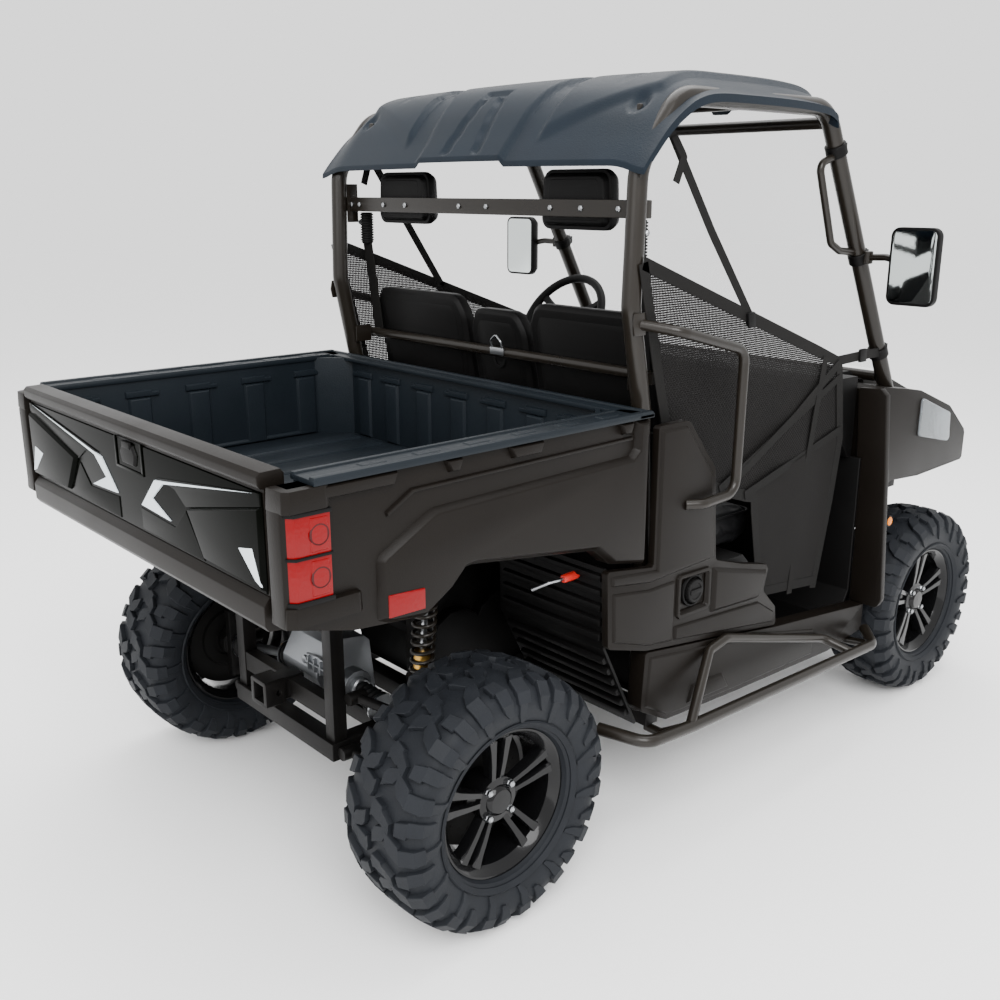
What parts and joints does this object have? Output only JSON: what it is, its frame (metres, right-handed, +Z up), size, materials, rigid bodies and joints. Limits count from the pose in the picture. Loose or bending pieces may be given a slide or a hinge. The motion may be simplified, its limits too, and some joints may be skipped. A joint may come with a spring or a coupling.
{
  "type": "side by side utility vehicle",
  "caption": "Open three-abreast utility vehicle with a roll cage, roof, windshield, door nets and a tilting cargo bed with a drop tailgate.",
  "frame": {"origin": "on the ground at the middle of the vehicle's length and width", "axes": "+X to the vehicle's left, -Y forwards, +Z up"},
  "size_m": [1.83, 3.0016, 2.045],
  "materials": {
    "body_charcoal": "moulded charcoal plastic, fine matte grain",
    "bed_liner": "moulded dark grey bed plastic, satin",
    "cabin_plastic": "black moulded plastic, matte",
    "roof_plastic": "dark grey textured plastic",
    "frame_black": "black powder coat",
    "cage_bronze": "satin black-bronze powder coat",
    "engine_cover": "black engine shroud",
    "cast_alloy": "as-cast alloy",
    "shaft_steel": "dark oiled steel",
    "cast_iron_black": "painted cast iron",
    "clear_lens": "clear moulded lens",
    "red_lens": "red moulded lens",
    "seat_vinyl": "black grained vinyl",
    "seat_shell": "black moulded shell",
    "rim_black": "gloss black alloy wheel paint",
    "belt_web": "black woven webbing",
    "net_web": "black net with webbing border",
    "shock_gold": "gold body with black spring",
    "grip_rubber": "moulded rubber grip",
    "tyre_rubber": "tyre rubber",
    "clear_sheet": "clear moulded sheet"
  },
  "bodies": {
    "chassis": {"cab_sides": "body_charcoal", "cage_crossbars": "cage_bronze", "cage_sides": "cage_bronze", "dashboard": "cabin_plastic", "engine": "engine_cover", "floor_pan": "cabin_plastic", "frame": "frame_black", "front_tower": "frame_black", "rear_tower": "frame_black", "front_bumper": "cage_bronze", "front_fascia": "body_charcoal", "front_fenders": "body_charcoal", "front_posts": "body_charcoal", "fuel_cap": "cabin_plastic", "gearcases": "cast_alloy", "grab_handle": "cage_bronze", "half_shafts": "shaft_steel", "headlamps": "clear_lens", "headrests": "seat_vinyl", "hip_bars": "cage_bronze", "hitch_receiver": "frame_black", "hood": "body_charcoal", "mirrors": "cabin_plastic", "mud_guards": "cabin_plastic", "rear_uprights": "cast_iron_black", "roof": "roof_plastic", "seat_backs": "seat_shell", "seat_base": "cabin_plastic", "seat_belts": "belt_web", "seat_cushions": "seat_vinyl", "shocks": "shock_gold", "side_nets": "net_web", "step_bars": "cage_bronze", "suspension_arms": "frame_black", "windshield": "clear_sheet"},
    "cargo_bed": {"bed_tub": "bed_liner", "bed_sides": "body_charcoal", "tail_lamps": "red_lens", "bed_frame": "frame_black"},
    "tailgate": {"tailgate": "body_charcoal"},
    "steering_wheel": {"steering_wheel": "grip_rubber"},
    "steering_rack": {"steering_rack": "shaft_steel"},
    "knuckle_left": {"knuckle_left": "cast_iron_black"},
    "knuckle_right": {"knuckle_right": "cast_iron_black"},
    "wheel_front_left": {"tyre_front_left": "tyre_rubber", "rim_front_left": "rim_black"},
    "wheel_front_right": {"tyre_front_right": "tyre_rubber", "rim_front_right": "rim_black"},
    "wheel_rear_left": {"tyre_rear_left": "tyre_rubber", "rim_rear_left": "rim_black"},
    "wheel_rear_right": {"tyre_rear_right": "tyre_rubber", "rim_rear_right": "rim_black"}
  },
  "joints": [
    {"name": "bed_tilt", "type": "hinge", "parent": "chassis", "child": "cargo_bed", "pos_m": [0, 1.07, 0.88], "axis": [-1, 0, 0], "range_deg": [0, 40]},
    {"name": "tailgate_drop", "type": "hinge", "parent": "cargo_bed", "child": "tailgate", "pos_m": [0, 1.446, 0.905], "axis": [-1, 0, 0], "range_deg": [0, 90]},
    {"name": "steer_left", "type": "hinge", "parent": "chassis", "child": "knuckle_left", "pos_m": [0.61, -1.05, 0.33], "axis": [0, 0, 1], "range_deg": [-28, 28]},
    {"name": "steer_right", "type": "hinge", "parent": "chassis", "child": "knuckle_right", "pos_m": [-0.61, -1.05, 0.33], "axis": [0, 0, 1], "range_deg": [-28, 28]},
    {"name": "steering_wheel_turn", "type": "hinge", "parent": "chassis", "child": "steering_wheel", "pos_m": [0.374, -0.33, 1.29], "axis": [0, 0.8192, 0.5736], "range_deg": [-252, 252]},
    {"name": "rack_slide", "type": "slide", "parent": "chassis", "child": "steering_rack", "axis": [1, 0, 0], "range_m": [-0.048, 0.048]},
    {"name": "wheel_spin_front_left", "type": "hinge", "parent": "knuckle_left", "child": "wheel_front_left", "pos_m": [0.655, -1.05, 0.33], "axis": [1, 0, 0], "continuous": true},
    {"name": "wheel_spin_front_right", "type": "hinge", "parent": "knuckle_right", "child": "wheel_front_right", "pos_m": [-0.655, -1.05, 0.33], "axis": [1, 0, 0], "continuous": true},
    {"name": "wheel_spin_rear_left", "type": "hinge", "parent": "chassis", "child": "wheel_rear_left", "pos_m": [0.64, 0.95, 0.33], "axis": [1, 0, 0], "continuous": true},
    {"name": "wheel_spin_rear_right", "type": "hinge", "parent": "chassis", "child": "wheel_rear_right", "pos_m": [-0.64, 0.95, 0.33], "axis": [1, 0, 0], "continuous": true}
  ],
  "couplings": [
    {"joint": "steer_right", "follows": "steer_left", "ratio": 1},
    {"joint": "steering_wheel_turn", "follows": "steer_left", "ratio": 9},
    {"joint": "rack_slide", "follows": "steer_left", "m_per_rad": 0.096}
  ]
}
